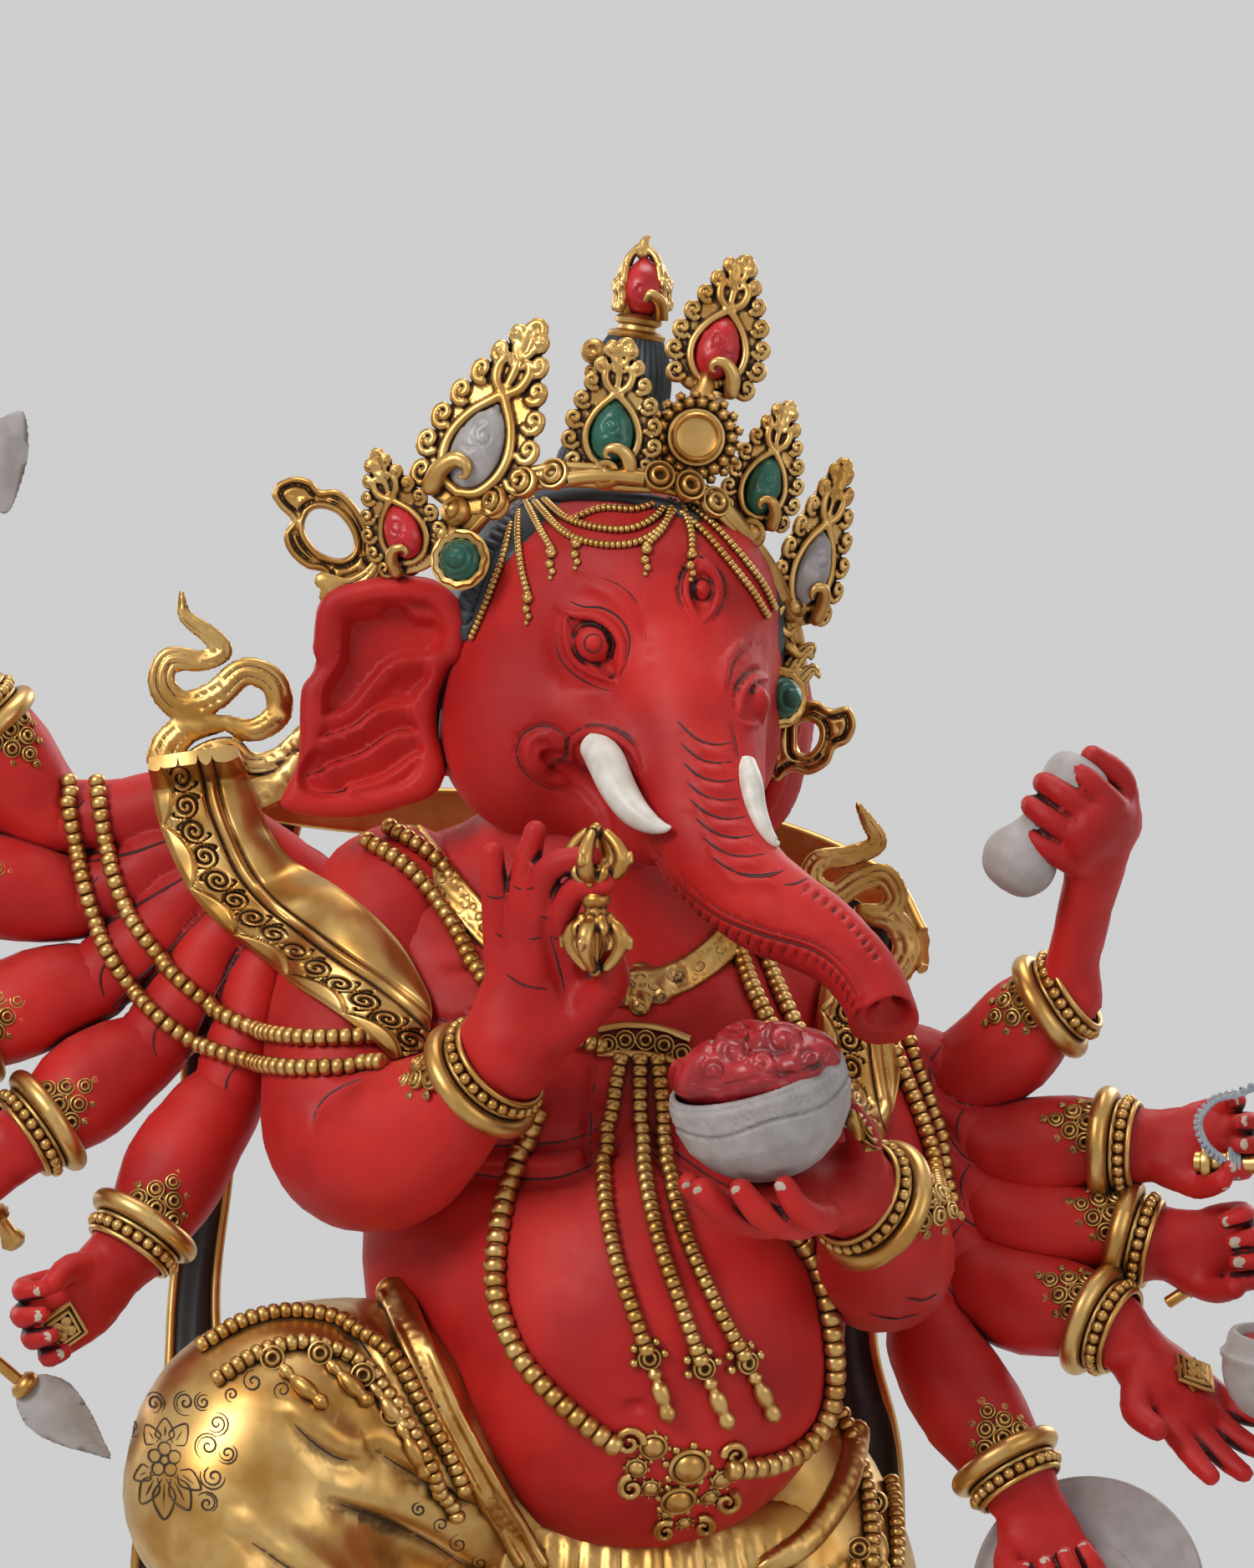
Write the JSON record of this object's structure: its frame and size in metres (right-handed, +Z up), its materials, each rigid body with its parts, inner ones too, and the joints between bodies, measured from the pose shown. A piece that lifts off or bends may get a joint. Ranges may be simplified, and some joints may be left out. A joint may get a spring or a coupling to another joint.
{
  "type": "ganesha idol",
  "caption": "Standing statue of a twelve-armed elephant-headed deity dancing on a mouse over a round lotus base, painted red and gilded, holding separate implements.",
  "frame": {"origin": "centre of the underside of the round base, where the statue stands", "axes": "+Z up; the display side faces -Y; +X is the viewer's right, the figure's own left"},
  "size_m": [0.4132, 0.224, 0.5761],
  "materials": {
    "red_paint": "matte mineral-red paint over cast copper, dry highlights, dark glaze in the creases",
    "gilt": "antiqued fire gilding with brown patina in the recesses",
    "grey_paint": "warm grey matte paint",
    "wire_paint": "blue-grey matte paint on twisted wire",
    "hair_paint": "blue-black matte paint",
    "ivory_paint": "off-white satin paint",
    "gem_paint": "green, red and grey-white satin paint on raised drops",
    "offering_paint": "semi-gloss red paint",
    "plain_copper": "plain beaten sheet",
    "steel": "plain turned steel"
  },
  "bodies": {
    "figure": {"anklets": "gilt", "arm_beads": "gilt", "arm_fan_left": "red_paint", "arm_fan_right": "red_paint", "arm_main_left": "red_paint", "arm_main_right": "red_paint", "arrow": "gilt", "base_plate": "plain_copper", "blood_cup": "grey_paint", "bow": "gilt", "bow_string": "wire_paint", "bracelets": "gilt", "collar": "gilt", "crown_band": "gilt", "crown_gems": "gem_paint", "crown_leaves": "gilt", "crown_studs": "gilt", "ear_left": "red_paint", "ear_right": "red_paint", "elephant_hook": "gilt", "figure_bolt": "steel", "figure_nut": "steel", "foot_left": "red_paint", "foot_right": "red_paint", "forearm_left_1": "red_paint", "forearm_left_2": "red_paint", "forearm_left_3": "red_paint", "forearm_left_4": "red_paint", "forearm_left_5": "red_paint", "forearm_right_1": "red_paint", "forearm_right_2": "red_paint", "forearm_right_3": "red_paint", "forearm_right_4": "red_paint", "forearm_right_5": "red_paint", "hair_and_topknot": "hair_paint", "head": "red_paint", "leg_left": "gilt", "leg_right": "gilt", "lotus_base": "gilt", "mouse": "grey_paint", "mouse_tail": "grey_paint", "necklace_long": "gilt", "necklace_short": "gilt", "offering": "offering_paint", "pestle": "grey_paint", "ribbon_loops": "gilt", "shawl": "gilt", "shield": "grey_paint", "skirt": "gilt", "skull_bowl": "grey_paint", "topknot_finial": "gilt", "torso": "red_paint", "tusks": "ivory_paint", "vajra": "gilt"},
    "axe_body": {"axe": "grey_paint"},
    "sword_body": {"sword": "grey_paint"},
    "spear_body": {"spear": "grey_paint"},
    "staff_body": {"staff": "gilt"},
    "lance_body": {"lance": "gilt"}
  },
  "joints": [
    {"name": "axe_slide", "type": "slide", "parent": "figure", "child": "axe_body", "axis": [0.1198, -0.2196, 0.9682], "range_m": [0, 0.002]},
    {"name": "sword_slide", "type": "slide", "parent": "figure", "child": "sword_body", "axis": [-0.4993, -0.3795, 0.7789], "range_m": [0, 0.004]},
    {"name": "spear_slide", "type": "slide", "parent": "figure", "child": "spear_body", "axis": [0.7598, -0.02, -0.6498], "range_m": [0, 0.01]},
    {"name": "staff_slide", "type": "slide", "parent": "figure", "child": "staff_body", "axis": [0.8405, -0.04, 0.5403], "range_m": [0, 0.006]},
    {"name": "lance_slide", "type": "slide", "parent": "figure", "child": "lance_body", "axis": [0.2209, 0.0502, -0.974], "range_m": [-0.006, 0]}
  ]
}
